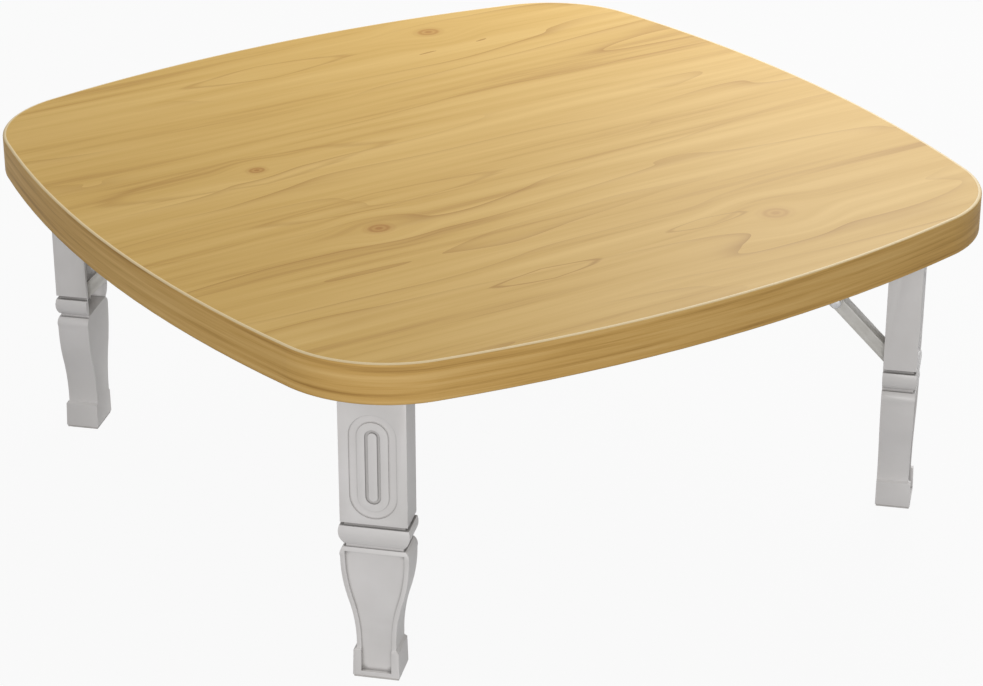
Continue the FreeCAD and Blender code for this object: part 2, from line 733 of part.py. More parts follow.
subparts = list(board)
for corner, (x_side, y_side) in LEG_CORNERS.items():
    direction = math.degrees(math.atan2(y_side, x_side))
    turn = FreeCAD.Placement(FreeCAD.Vector(), FreeCAD.Rotation(UP, direction - MODELLED_DIRECTION))
    leg_pivot = FreeCAD.Vector(0, number(LEG_PIVOT_Y), number(LEG_PIVOT_Z))
    board_pivot = FreeCAD.Vector(0, number(BOARD_PIVOT_Y), number(BOARD_PIVOT_Z))
    rising = FreeCAD.Placement(leg_pivot, FreeCAD.Rotation(SIDEWAYS, HALF_TURN - STAY_TILT))
    falling = FreeCAD.Placement(board_pivot, FreeCAD.Rotation(SIDEWAYS, -STAY_TILT))
    upright = [
        leg_shell(f"leg_shell_{corner}"),
        foot_pad(f"foot_pad_{corner}"),
        hinge_bracket(f"hinge_bracket_{corner}"),
        cross_pin(f"hinge_pin_{corner}", "hinge_pin_radius", HINGE_PIN_HALF, HINGE_REACH, HINGE_Z),
        stay_bracket(f"stay_bracket_{corner}"),
        cross_pin(f"stay_board_pin_{corner}", "stay_pin_radius", EAR_OUTSIDE, BOARD_PIVOT_Y, BOARD_PIVOT_Z),
        cross_pin(f"stay_leg_pin_{corner}", "stay_pin_radius", RIB_OUTSIDE, LEG_PIVOT_Y, LEG_PIVOT_Z),
        bracket_screws(f"bracket_screws_{corner}"),
    ]
    on_upper_link = [upper_link(f"upper_link_{corner}"), middle_rivet(f"middle_rivet_{corner}")]
    on_leg_pin = [lower_link(f"lower_link_{corner}")]
    for pieces, place in ((upright, turn), (on_upper_link, turn * falling), (on_leg_pin, turn * rising)):
        for piece in pieces:
            piece.Placement = place
            subparts.append(piece)

doc.recompute()
for item in doc.Objects:
    if {"Invalid", "Error"} & set(item.State):
        raise RuntimeError(f"{item.Label} did not build: {item.State}")
for piece in subparts:
    if piece.Shape.isNull() or not piece.Shape.isValid():
        raise RuntimeError(f"{piece.Label} has no valid shape")

os.makedirs("parts", exist_ok=True)
for piece in subparts:
    piece.Shape.exportStep(f"parts/{piece.Label}.step")
print(len(subparts), "sub-parts written")
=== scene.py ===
import json
import math

import bmesh
import bpy
import numpy as np
from mathutils import Matrix, Vector

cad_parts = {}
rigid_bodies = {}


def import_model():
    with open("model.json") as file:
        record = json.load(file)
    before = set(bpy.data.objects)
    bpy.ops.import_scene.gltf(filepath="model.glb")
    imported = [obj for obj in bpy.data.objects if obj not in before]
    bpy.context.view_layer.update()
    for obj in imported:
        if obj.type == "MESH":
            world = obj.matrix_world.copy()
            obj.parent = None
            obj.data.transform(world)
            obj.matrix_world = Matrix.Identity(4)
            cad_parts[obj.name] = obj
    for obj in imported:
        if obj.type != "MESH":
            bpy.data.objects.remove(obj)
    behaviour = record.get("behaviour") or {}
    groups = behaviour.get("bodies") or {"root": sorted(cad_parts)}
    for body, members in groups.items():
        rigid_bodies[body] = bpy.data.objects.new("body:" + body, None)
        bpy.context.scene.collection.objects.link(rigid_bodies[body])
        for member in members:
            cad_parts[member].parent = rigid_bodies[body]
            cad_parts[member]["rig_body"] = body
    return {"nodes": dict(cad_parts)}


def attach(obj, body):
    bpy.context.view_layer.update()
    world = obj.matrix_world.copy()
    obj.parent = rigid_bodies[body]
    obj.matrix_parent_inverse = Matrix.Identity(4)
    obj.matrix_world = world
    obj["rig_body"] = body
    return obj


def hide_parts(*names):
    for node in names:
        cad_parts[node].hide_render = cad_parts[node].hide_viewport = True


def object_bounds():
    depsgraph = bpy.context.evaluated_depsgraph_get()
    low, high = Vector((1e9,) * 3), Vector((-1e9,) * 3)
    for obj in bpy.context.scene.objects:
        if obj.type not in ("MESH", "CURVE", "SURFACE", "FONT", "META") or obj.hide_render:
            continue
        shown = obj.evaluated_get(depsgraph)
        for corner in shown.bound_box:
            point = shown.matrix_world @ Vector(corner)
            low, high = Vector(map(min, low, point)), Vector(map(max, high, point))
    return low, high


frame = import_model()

cad_low, cad_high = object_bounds()


# Board core
# Medium-density fibreboard, pressed from wood fibre and sawn to the bowed square.
# The laminate, the backing and the edge band are glued round it and hide it.

MM = 0.001
FIBRE_TAN = "#A98B63"
FIBRE_DARK = "#8C7049"
FIBRE_BUNDLE = 1.5 * MM
CLOUD_DETAIL = 3.0
CLOUD_DARKEST = 0.3
CLOUD_PALEST = 0.7


def linear(hex_colour):
    """An sRGB hex value as linear light, with full alpha."""
    levels = [int(hex_colour[i : i + 2], 16) / 255 for i in (1, 3, 5)]
    return [v / 12.92 if v <= 0.04045 else ((v + 0.055) / 1.055) ** 2.4 for v in levels] + [1.0]


def node(tree, kind, inputs, **settings):
    """Adds a node with its settings and links. An input is a value, a socket or a node's first output."""
    made = tree.nodes.new(f"ShaderNode{kind}")
    for name, value in settings.items():
        setattr(made, name, value)
    for name, value in inputs.items():
        if isinstance(value, bpy.types.Node):
            value = next(socket for socket in value.outputs if socket.enabled)
        if isinstance(value, bpy.types.NodeSocket):
            tree.links.new(value, made.inputs[name])
        else:
            made.inputs[name].default_value = value
    return made


def new_finish(name, surface):
    """A material with its surface shader, and the place on the piece that its patterns start from."""
    material = bpy.data.materials.new(name)
    material.use_nodes = True
    tree = material.node_tree
    tree.nodes.clear()
    shader = node(tree, "BsdfPrincipled", surface)
    node(tree, "OutputMaterial", {"Surface": shader})
    place = node(tree, "TexCoord", {}).outputs["Object"]
    return material, tree, shader, place


def clouded(tree, place, cloud, dark, pale):
    """An uneven colour between dark and pale, in soft clouds of that size."""
    clouds = node(tree, "TexNoise", {"Vector": place, "Scale": 1 / cloud, "Detail": CLOUD_DETAIL})
    cover = node(tree, "MapRange", {"Value": clouds, "From Min": CLOUD_DARKEST, "From Max": CLOUD_PALEST})
    return node(tree, "Mix", {"Factor": cover, "A": linear(dark), "B": linear(pale)}, data_type="RGBA")


def finish(piece, material):
    """Gives a piece its one material."""
    piece.data.materials.clear()
    piece.data.materials.append(material)


def sawn_fibreboard():
    """MDF as the saw leaves it: matte, with short pale and dark fibres."""
    material, tree, shader, place = new_finish("sawn_fibreboard", {"Roughness": 0.85})
    fibres = clouded(tree, place, FIBRE_BUNDLE, FIBRE_DARK, FIBRE_TAN)
    tree.links.new(fibres.outputs["Result"], shader.inputs["Base Color"])
    return material


finish(frame["nodes"]["board_core"], sawn_fibreboard())


# Top laminate
# A sheet of melamine paper, printed with knotty pine and pressed hot on to the core.
# The print's grain runs along X, with soft streaks, a few pointed figures and small knots.

# The tone of the grain at which the print has each colour, from its streaks to its palest wood
PINE_TONES = ((0.36, "#B48C48"), (0.52, "#CAA55C"), (0.76, "#D6B36D"))
PINE_LINE = "#A27736"
PINE_KNOT = "#A5702F"
PRINT_SATIN = {"Roughness": 0.52, "Specular IOR Level": 0.1}
# Each pattern: its length along the grain, its width across it, its start and its detail
STREAKS = (420 * MM, 16 * MM, 11.0, 4.0)
BROAD_SHADES = (900 * MM, 95 * MM, 17.0, 1.0)
FIBRES = (60 * MM, 1.6 * MM, 23.0, 2.0)
DRIFT = (500 * MM, 120 * MM, 3.0, 1.0)
SWELLING = (430 * MM, 85 * MM, 29.0, 1.5)
FADING = (380 * MM, 70 * MM, 37.0, 1.0)
PATTERN_ROUGHNESS = 0.55
STREAK_SHARE = 0.75
BROAD_SHARE = 0.30
FIBRE_SHARE = 0.12
DRIFT_REACH = 26 * MM
YEAR_WIDTH = 52 * MM
YEARS_SWOLLEN = 5.0
LATE_WOOD_SHARPNESS = 9.0
LATE_WOOD_FADED = 0.42
LATE_WOOD_STRONG = 0.68
LINE_COVER = 0.75
# Each knot: its place along and across the grain, its size and how dark it is
KNOTS = (
    (133 * MM, 297 * MM, 0.9, 0.8),
    (-175 * MM, 72 * MM, 0.6, 0.9),
    (-154 * MM, -91 * MM, 0.8, 0.9),
    (130 * MM, -237 * MM, 1.0, 0.5),
)
KNOT_LENGTH = 15 * MM
KNOT_WIDTH = 12 * MM
# Distances from a knot's middle, in its own size: the solid heart, the rim, and how far the grain bends
KNOT_HEART = 0.35
KNOT_RIM = 1.4
KNOT_BEND_NEAR = 0.6
KNOT_BEND_FAR = 5.0
KNOT_BEND = 0.75
KNOT_RING_TURN = 12.0
KNOT_RING_SHADE = 0.25
# Each pointed figure: its place along and across the grain, half its length and width, and how dark it is
FIGURES = (
    (-91 * MM, -238 * MM, 46 * MM, 10 * MM, 0.85),
    (-51 * MM, 282 * MM, 80 * MM, 17 * MM, 0.5),
    (-182 * MM, 70 * MM, 120 * MM, 30 * MM, 0.4),
    (72 * MM, -222 * MM, 36 * MM, 8 * MM, 0.6),
    (-120 * MM, -40 * MM, 110 * MM, 15 * MM, 0.4),
)
FIGURE_LINE = 0.18
FIGURE_WANDER = 0.9


def drawn_out(tree, place, pattern):
    """Noise between about 0 and 1, drawn out to the pattern's length and width."""
    length, width, start, detail = pattern
    scale = (1 / length, 1 / width, 0)
    stretched = node(tree, "Mapping", {"Vector": place, "Scale": scale, "Location": (0, 0, start)})
    kind = {"Scale": 1.0, "Detail": detail, "Roughness": PATTERN_ROUGHNESS}
    return node(tree, "TexNoise", {"Vector": stretched, **kind})


def toned(tree, patterns, tones):
    """The colour of a grain whose tone is the sum of its patterns, each by its own share."""
    tone = 0.0
    for pattern, share in patterns:
        tone = node(tree, "Math", {0: pattern, 1: share, 2: tone}, operation="MULTIPLY_ADD")
    colour = linear(tones[0][1])
    for (darker, _), (paler, tint) in zip(tones, tones[1:]):
        cover = node(tree, "MapRange", {"Value": tone, "From Min": darker, "From Max": paler})
        colour = node(tree, "Mix", {"Factor": cover, "A": colour, "B": linear(tint)}, data_type="RGBA")
    return colour


def seen_from(tree, place, along, across, half_length, half_width):
    """The way out from a knot or a figure, in its own half lengths and widths: whole, and in its parts."""
    scale = (1 / half_length, 1 / half_width, 0)
    back = (-along / half_length, -across / half_width, 0)
    off = node(tree, "Mapping", {"Vector": place, "Scale": scale, "Location": back})
    return off, node(tree, "SeparateXYZ", {"Vector": off}).outputs


def bent_round_knots(tree, place, shift):
    """The grain's shift to the side, which also takes it round the knots, and the cover of the knots."""
    cover = 0.0
    for along, across, size, darkness in KNOTS:
        width = KNOT_WIDTH * size
        off, ways = seen_from(tree, place, along, across, KNOT_LENGTH * size, width)
        far = node(tree, "VectorMath", {0: off}, operation="LENGTH")
        bend = node(
            tree,
            "MapRange",
            {
                "Value": far,
                "From Min": KNOT_BEND_NEAR,
                "From Max": KNOT_BEND_FAR,
                "To Min": -KNOT_BEND * width,
                "To Max": 0.0,
            },
            interpolation_type="SMOOTHSTEP",
        )
        shift = node(tree, "Math", {0: ways["Y"], 1: bend, 2: shift}, operation="MULTIPLY_ADD")
        turn = node(tree, "Math", {0: far, 1: KNOT_RING_TURN}, operation="MULTIPLY")
        ring = node(tree, "Math", {0: turn}, operation="SINE")
        shade = {0: ring, 1: KNOT_RING_SHADE, 2: 1 - KNOT_RING_SHADE}
        ringed = node(tree, "Math", shade, operation="MULTIPLY_ADD")
        heart = node(
            tree,
            "MapRange",
            {"Value": far, "From Min": KNOT_HEART, "From Max": KNOT_RIM, "To Min": darkness, "To Max": 0.0},
            interpolation_type="SMOOTHSTEP",
        )
        shown = node(tree, "Math", {0: heart, 1: ringed}, operation="MULTIPLY")
        cover = node(tree, "Math", {0: cover, 1: shown}, operation="MAXIMUM")
    return shift, cover


def late_wood(tree, place, grain):
    """The thin dark end of each year's growth, which fades in and out."""
    across = node(tree, "SeparateXYZ", {"Vector": grain}).outputs["Y"]
    swelling = drawn_out(tree, place, SWELLING)
    swollen = node(tree, "Math", {0: swelling, 1: YEARS_SWOLLEN}, operation="MULTIPLY")
    years = node(tree, "Math", {0: across, 1: 1 / YEAR_WIDTH, 2: swollen}, operation="MULTIPLY_ADD")
    season = node(tree, "Math", {0: years}, operation="FRACT")
    late = node(tree, "Math", {0: season, 1: LATE_WOOD_SHARPNESS}, operation="POWER")
    fading = drawn_out(tree, place, FADING)
    fade = {"Value": fading, "From Min": LATE_WOOD_FADED, "From Max": LATE_WOOD_STRONG}
    strength = node(tree, "MapRange", fade)
    return node(tree, "Math", {0: late, 1: strength}, operation="MULTIPLY")


def pointed_figures(tree, place, streaks, lines):
    """The lines, joined by the rims of the pointed figures, which wander with the streaks."""
    for along, across, half_length, half_width, darkness in FIGURES:
        _, ways = seen_from(tree, place, along, across, half_length, half_width)
        tip = node(tree, "Math", {0: ways["X"]}, operation="ABSOLUTE")
        out = node(tree, "Math", {0: ways["Y"], 1: ways["Y"], 2: tip}, operation="MULTIPLY_ADD")
        wandered = node(tree, "Math", {0: streaks, 1: FIGURE_WANDER, 2: out}, operation="MULTIPLY_ADD")
        past_rim = node(tree, "Math", {0: wandered, 1: 1 + FIGURE_WANDER / 2}, operation="SUBTRACT")
        from_rim = node(tree, "Math", {0: past_rim}, operation="ABSOLUTE")
        line = {"Value": from_rim, "From Max": FIGURE_LINE, "To Min": darkness, "To Max": 0.0}
        rim = node(tree, "MapRange", line, interpolation_type="SMOOTHSTEP")
        lines = node(tree, "Math", {0: lines, 1: rim}, operation="MAXIMUM")
    return lines


def printed_pine():
    """Pine printed on melamine paper: an even satin, so that only the colour carries the grain."""
    material, tree, shader, place = new_finish("printed_pine", PRINT_SATIN)
    drift = {0: drawn_out(tree, place, DRIFT), 1: DRIFT_REACH, 2: -DRIFT_REACH / 2}
    shift, knots = bent_round_knots(tree, place, node(tree, "Math", drift, operation="MULTIPLY_ADD"))
    sideways = node(tree, "CombineXYZ", {"Y": shift})
    grain = node(tree, "VectorMath", {0: place, 1: sideways}, operation="ADD")
    streaks = drawn_out(tree, grain, STREAKS)
    broad = drawn_out(tree, grain, BROAD_SHADES)
    fibres = drawn_out(tree, grain, FIBRES)
    shares = ((streaks, STREAK_SHARE), (broad, BROAD_SHARE), (fibres, FIBRE_SHARE))
    colour = toned(tree, shares, PINE_TONES)
    lines = pointed_figures(tree, place, streaks, late_wood(tree, place, grain))
    cover = node(tree, "Math", {0: lines, 1: LINE_COVER}, operation="MULTIPLY")
    for shown, tint in ((cover, PINE_LINE), (knots, PINE_KNOT)):
        colour = node(tree, "Mix", {"Factor": shown, "A": colour, "B": linear(tint)}, data_type="RGBA")
    tree.links.new(colour.outputs["Result"], shader.inputs["Base Color"])
    return material


finish(frame["nodes"]["top_laminate"], printed_pine())


# Bottom backing
# A plain balancing paper soaked in resin.
# It is pressed on below in one go with the laminate above, so that the board stays flat.

BACKING_CREAM = "#D9D2C3"
BACKING_SHADE = "#CDC5B4"
BACKING_CLOUD = 40 * MM


def balancing_paper():
    """Resin-soaked paper: matte cream with faint clouding."""
    material, tree, shader, place = new_finish("balancing_paper", {"Roughness": 0.6})
    clouds = clouded(tree, place, BACKING_CLOUD, BACKING_SHADE, BACKING_CREAM)
    tree.links.new(clouds.outputs["Result"], shader.inputs["Base Color"])
    return material


finish(frame["nodes"]["bottom_backing"], balancing_paper())


# Edge band
# A printed plastic strip, bent round the board and glued, with both edges trimmed to a small round.
# Its grain runs along the strip. The upper trimmed round shows the strip's pale body as a thin line, with a
# painted highlight on it.

BAND_TONES = ((0.40, "#A98146"), (0.56, "#CFA661"), (0.74, "#E0BA78"))
BAND_PALE_BODY_AND_HIGHLIGHT = "#E6D0A4"
BAND_STREAKS = (190 * MM, 4.5 * MM, 5.0, 4.0)
BAND_BROAD_SHADES = (260 * MM, 20 * MM, 9.0, 1.0)
BAND_FIBRES = (40 * MM, 1.0 * MM, 13.0, 2.0)
BAND_STREAK_SHARE = 0.7
BAND_BROAD_SHARE = 0.3
BAND_FIBRE_SHARE = 0.15
TRIM_HEIGHT = 0.9 * MM


def printed_band():
    """The same print on a strip, a little darker, with the grain following the edge and its seam on +Y."""
    material, tree, shader, place = new_finish("printed_band", PRINT_SATIN)
    ways = node(tree, "SeparateXYZ", {"Vector": place}).outputs
    forward = node(tree, "Math", {0: ways["Y"], 1: -1.0}, operation="MULTIPLY")
    turn = node(tree, "Math", {0: ways["X"], 1: forward}, operation="ARCTAN2")
    along = node(tree, "Math", {0: turn, 1: cad_high.x}, operation="MULTIPLY")
    strip = node(tree, "CombineXYZ", {"X": along, "Y": ways["Z"]})
    streaks = drawn_out(tree, strip, BAND_STREAKS)
    broad = drawn_out(tree, strip, BAND_BROAD_SHADES)
    fibres = drawn_out(tree, strip, BAND_FIBRES)
    shares = ((streaks, BAND_STREAK_SHARE), (broad, BAND_BROAD_SHARE), (fibres, BAND_FIBRE_SHARE))
    colour = toned(tree, shares, BAND_TONES)
    # Painted highlight: a pale line along the upper round, partly the strip's own pale body.
    trim_start = cad_high.z - TRIM_HEIGHT
    pale_line = node(
        tree,
        "MapRange",
        {"Value": ways["Z"], "From Min": trim_start, "From Max": trim_start + TRIM_HEIGHT / 2},
        interpolation_type="SMOOTHSTEP",
    )
    lined_colour = node(tree, "Mix", {"Factor": pale_line, "A": colour, "B": linear(BAND_PALE_BODY_AND_HIGHLIGHT)}, data_type="RGBA")
    tree.links.new(lined_colour.outputs["Result"], shader.inputs["Base Color"])
    return material


finish(frame["nodes"]["edge_band"], printed_band())


# Brackets
# Two pressed steel plates to each corner, zinc-plated bright and screwed under the board.
# One has the ears for the leg's hinge pin, the other the ears for the stay.

CORNERS = ("front", "right", "back", "left")
ZINC_PALE = "#C9C9CA"
ZINC_DARK = "#A9AAAC"
ZINC_PATCH = 5 * MM
PATCH_DETAIL = 4.0
ZINC_GLOSSY = 0.28
ZINC_DULL = 0.46
PRESSED_EDGE = 0.3 * MM
PRESSED_STEPS = 2
FLAT_ANGLE = math.radians(1)
SHARP_ANGLE = math.radians(28)
SAME_PLACE = 0.001 * MM


def welded(node_name):
    """The CAD node's own shape for editing, with its split vertices joined."""
    body = bmesh.new()
    body.from_mesh(frame["nodes"][node_name].data)
    bmesh.ops.remove_doubles(body, verts=body.verts, dist=SAME_PLACE)
    return body


def shaped(name, body):
    """An object in the scene from an edited shape."""
    mesh = bpy.data.meshes.new(name)
    body.to_mesh(mesh)
    body.free()
    mesh.shade_smooth()
    piece = bpy.data.objects.new(name, mesh)
    bpy.context.scene.collection.objects.link(piece)
    return piece


def worked(piece):
    """The piece's mesh with its modifiers worked in."""
    view = bpy.context.evaluated_depsgraph_get()
    return bpy.data.meshes.new_from_object(piece.evaluated_get(view))


def rounded(node_name, edge, steps):
    """The CAD node's own shape with its sharp edges rounded off, in its own place."""
    body = welded(node_name)
    bmesh.ops.dissolve_limit(body, angle_limit=FLAT_ANGLE, verts=body.verts, edges=body.edges)
    piece = shaped(f"{node_name}_piece", body)
    bevel = piece.modifiers.new("rounded", "BEVEL")
    bevel.width = edge
    bevel.segments = steps
    bevel.limit_method = "ANGLE"
    bevel.angle_limit = SHARP_ANGLE
    bevel.harden_normals = True
    mesh = worked(piece)
    piece.modifiers.clear()
    piece.data = mesh
    return piece


def fit(piece, node_name, material):
    """Puts a made piece in the place of its CAD node, on the same body."""
    finish(piece, material)
    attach(piece, frame["nodes"][node_name]["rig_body"])
    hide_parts(node_name)


def bright_zinc():
    """Zinc plate on pressed steel: a soft metal gloss, with faint patches where the plate took unevenly."""
    material, tree, shader, place = new_finish("bright_zinc", {"Metallic": 1.0})
    colour = clouded(tree, place, ZINC_PATCH, ZINC_DARK, ZINC_PALE)
    tree.links.new(colour.outputs["Result"], shader.inputs["Base Color"])
    patches = node(tree, "TexNoise", {"Vector": place, "Scale": 1 / ZINC_PATCH, "Detail": PATCH_DETAIL})
    gloss = node(tree, "MapRange", {"Value": patches, "To Min": ZINC_GLOSSY, "To Max": ZINC_DULL})
    tree.links.new(gloss.outputs["Result"], shader.inputs["Roughness"])
    return material


zinc = bright_zinc()
for corner in CORNERS:
    for bracket in (f"hinge_bracket_{corner}", f"stay_bracket_{corner}"):
        fit(rounded(bracket, PRESSED_EDGE, PRESSED_STEPS), bracket, zinc)


# Bracket screws
# Pan-head steel screws with a cross recess, cold-headed and zinc-plated.
# Six to a corner are driven up through the brackets into the core.

SCREW_HEAD_RADIUS = 3.7 * MM
SCREW_HEAD_THICK = 2 * MM
SCREW_HEAD_CROWN = 0.7 * MM
SCREW_SHANK_RADIUS = 1.9 * MM
RECESS_WIDTH = 1.1 * MM
RECESS_LENGTH = 4.2 * MM
RECESS_DEPTH = 1.0 * MM
DRIVEN_TURN = math.radians(74)
QUARTER_TURN = math.pi / 2
ROUND_STEPS = 32
CROWN_STEPS = 6
UPSIDE_DOWN = Matrix.Rotation(math.pi, 4, "X")


def solid_boxes(node_name):
    """The lowest and highest corner of each separate solid in a CAD node."""
    body = welded(node_name)
    waiting = set(body.verts)
    boxes = []
    while waiting:
        reached = [waiting.pop()]
        for vert in reached:
            for edge in vert.link_edges:
                other = edge.other_vert(vert)
                if other in waiting:
                    waiting.discard(other)
                    reached.append(other)
        places = np.array([vert.co for vert in reached])
        boxes.append((Vector(places.min(0)), Vector(places.max(0))))
    body.free()
    return sorted(boxes, key=lambda box: tuple(box[0]))


def turned(name, outline):
    """A closed round piece about Z, from (radius, height) points that start and end on the axis."""
    body = bmesh.new()
    angles = [math.tau * step / ROUND_STEPS for step in range(ROUND_STEPS)]
    rings = []
    for radius, height in outline:
        around = angles if radius else angles[:1]
        rings.append([body.verts.new((radius * math.cos(a), radius * math.sin(a), height)) for a in around])
    for lower, upper in zip(rings, rings[1:]):
        for step in range(ROUND_STEPS):
            following = (step + 1) % ROUND_STEPS
            face = [lower[step % len(lower)], lower[following % len(lower)]]
            face += [upper[following % len(upper)], upper[step % len(upper)]]
            body.faces.new(list(dict.fromkeys(face)))
    bmesh.ops.recalc_face_normals(body, faces=body.faces)
    return shaped(name, body)


def crown(radius, foot, rise):
    """The points of a shallow round cap, from just inside its rim to the axis."""
    turns = [QUARTER_TURN * step / CROWN_STEPS for step in range(1, CROWN_STEPS)]
    return [(radius * math.cos(a), foot + rise * math.sin(a)) for a in turns] + [(0, foot + rise)]


def screw_mesh(shank_length):
    """A screw that points along -Z, with the underside of its head at the origin."""
    rim = SCREW_HEAD_THICK - SCREW_HEAD_CROWN
    outline = [(0, -shank_length), (SCREW_SHANK_RADIUS, SCREW_SHANK_RADIUS - shank_length)]
    outline += [(SCREW_SHANK_RADIUS, 0), (SCREW_HEAD_RADIUS, 0), (SCREW_HEAD_RADIUS, rim)]
    screw = turned("screw", outline + crown(SCREW_HEAD_RADIUS, rim, SCREW_HEAD_CROWN))
    body = bmesh.new()
    for turn in (0, QUARTER_TURN):
        size = Matrix.Diagonal((RECESS_LENGTH, RECESS_WIDTH, 2 * RECESS_DEPTH, 1))
        place = Matrix.Translation((0, 0, SCREW_HEAD_THICK)) @ Matrix.Rotation(turn, 4, "Z") @ size
        bmesh.ops.create_cube(body, size=1, matrix=place)
    driver = shaped("driver", body)
    recess = screw.modifiers.new("recess", "BOOLEAN")
    recess.object = driver
    recess.use_self = True
    mesh = worked(screw)
    bpy.data.objects.remove(screw)
    bpy.data.objects.remove(driver)
    return mesh


def joined(name, mesh, places):
    """One piece of several like solids, each at its own place."""
    body = bmesh.new()
    for place in places:
        copy = mesh.copy()
        copy.transform(place)
        body.from_mesh(copy)
        bpy.data.meshes.remove(copy)
    piece = shaped(name, body)
    piece.data.set_sharp_from_angle(angle=SHARP_ANGLE)
    return piece


for corner in CORNERS:
    screws = f"bracket_screws_{corner}"
    boxes = solid_boxes(screws)
    screw = screw_mesh(boxes[0][1].z - boxes[0][0].z - SCREW_HEAD_THICK)
    places = []
    for index, (low, high) in enumerate(boxes):
        seat = (low + high) / 2
        seat.z = low.z + SCREW_HEAD_THICK
        driven = Matrix.Rotation(index * DRIVEN_TURN, 4, "Z")
        places.append(Matrix.Translation(seat) @ UPSIDE_DOWN @ driven)
    fit(joined(f"{screws}_piece", screw, places), screws, zinc)


# Legs
# Each leg is one moulding in pale polypropylene, open at the back above, where the stay folds in.
# It turns on a steel pin in the ears of its bracket. The mould leaves every edge a little round,
# and the grooves, the rim of the sunk oval and the sunk panel are darkened with painted shade.

LEG_WHITE = "#E4E1E0"
LEG_SHADE = "#DCD9D7"
LEG_CREVICE_SHADE = "#4E4945"
LEG_CLOUD = 45 * MM
LEG_EDGE = 0.9 * MM
MOULDED_STEPS = 3
# The real grit is finer, and it is drawn as coarse as it needs to show
LEG_GRIT = 0.6 * MM
LEG_GRIT_DETAIL = 2.0
LEG_GRIT_HEIGHT = 0.05 * MM
LEG_GRIT_STRENGTH = 0.12
CREVICE_REACH = 5 * MM
CREVICE_RAYS = 8
CREVICE_SHADE_COVER = 0.62
# How open a place is, from 0 in a shut crevice to 1 on a free face, where the painted shade is full and
# ends
CREVICE_SHADE_FULL = 0.45
CREVICE_SHADE_GONE = 0.86


def moulded_polypropylene():
    """Moulded plastic: soft gloss with a very fine grit, and painted shade where two faces meet inwards."""
    material, tree, shader, place = new_finish("moulded_polypropylene", {"Roughness": 0.38, "IOR": 1.49})
    clouds = clouded(tree, place, LEG_CLOUD, LEG_SHADE, LEG_WHITE)
    crevices = {"Distance": CREVICE_REACH}
    # Painted shade: the colour turns grey in crevices and grooves, where the piece's own occlusion is high.
    openness = node(tree, "AmbientOcclusion", crevices, samples=CREVICE_RAYS, only_local=True).outputs["AO"]
    crevice_shade = node(
        tree,
        "MapRange",
        {
            "Value": openness,
            "From Min": CREVICE_SHADE_FULL,
            "From Max": CREVICE_SHADE_GONE,
            "To Min": CREVICE_SHADE_COVER,
            "To Max": 0.0,
        },
        interpolation_type="SMOOTHSTEP",
    )
    shaded_colour = node(tree, "Mix", {"Factor": crevice_shade, "A": clouds, "B": linear(LEG_CREVICE_SHADE)}, data_type="RGBA")
    tree.links.new(shaded_colour.outputs["Result"], shader.inputs["Base Color"])
    grit = node(tree, "TexNoise", {"Vector": place, "Scale": 1 / LEG_GRIT, "Detail": LEG_GRIT_DETAIL})
    bump = node(tree, "Bump", {"Strength": LEG_GRIT_STRENGTH, "Distance": LEG_GRIT_HEIGHT, "Height": grit})
    tree.links.new(bump.outputs["Normal"], shader.inputs["Normal"])
    return material


leg_plastic = moulded_polypropylene()
for corner in CORNERS:
    shell = f"leg_shell_{corner}"
    fit(rounded(shell, LEG_EDGE, MOULDED_STEPS), shell, leg_plastic)
    pin = f"hinge_pin_{corner}"
    fit(rounded(pin, PRESSED_EDGE, PRESSED_STEPS), pin, zinc)


# Foot pads
# A glide of thermoplastic rubber under each leg.
# It is moulded with a plug, which is pressed up into the hollow foot.

PAD_GREY = "#CFCBC8"
PAD_SHADE = "#BDB9B5"
PAD_CLOUD = 8 * MM
PAD_EDGE = 0.5 * MM


def soft_glide():
    """Thermoplastic rubber: matte, a shade darker than the leg."""
    material, tree, shader, place = new_finish("soft_glide", {"Roughness": 0.7})
    clouds = clouded(tree, place, PAD_CLOUD, PAD_SHADE, PAD_GREY)
    tree.links.new(clouds.outputs["Result"], shader.inputs["Base Color"])
    return material


glide = soft_glide()
for corner in CORNERS:
    pad = f"foot_pad_{corner}"
    fit(rounded(pad, PAD_EDGE, MOULDED_STEPS), pad, glide)


# Stays
# Two pressed steel links to each leg, stove-enamelled pale grey: a channel on a pin in the leg,
# and two bridged bars on a pin under the board, which straddle it. A rivet with domed heads joins them.

ENAMEL_PALE = "#DEDCD7"
ENAMEL_SHADE = "#D2CFC9"
ENAMEL_CLOUD = 12 * MM
RIVET_HEAD_RADIUS = 4.5 * MM
RIVET_HEAD_THICK = 1.2 * MM
RIVET_SHANK_RADIUS = 2.5 * MM
RIVET_SHANK_LENGTH = 2.0 * MM


def stove_enamel():
    """Baked enamel: smooth and half glossy, slightly uneven where it ran."""
    material, tree, shader, place = new_finish("stove_enamel", {"Roughness": 0.34})
    clouds = clouded(tree, place, ENAMEL_CLOUD, ENAMEL_SHADE, ENAMEL_PALE)
    tree.links.new(clouds.outputs["Result"], shader.inputs["Base Color"])
    return material


def rivet_mesh():
    """Half a rivet along +Z: its shank starts at the origin, and its head is domed."""
    outline = [(0, 0), (RIVET_SHANK_RADIUS, 0), (RIVET_SHANK_RADIUS, RIVET_SHANK_LENGTH)]
    outline += [(RIVET_HEAD_RADIUS, RIVET_SHANK_LENGTH)]
    rivet = turned("rivet", outline + crown(RIVET_HEAD_RADIUS, RIVET_SHANK_LENGTH, RIVET_HEAD_THICK))
    mesh = rivet.data
    bpy.data.objects.remove(rivet)
    return mesh


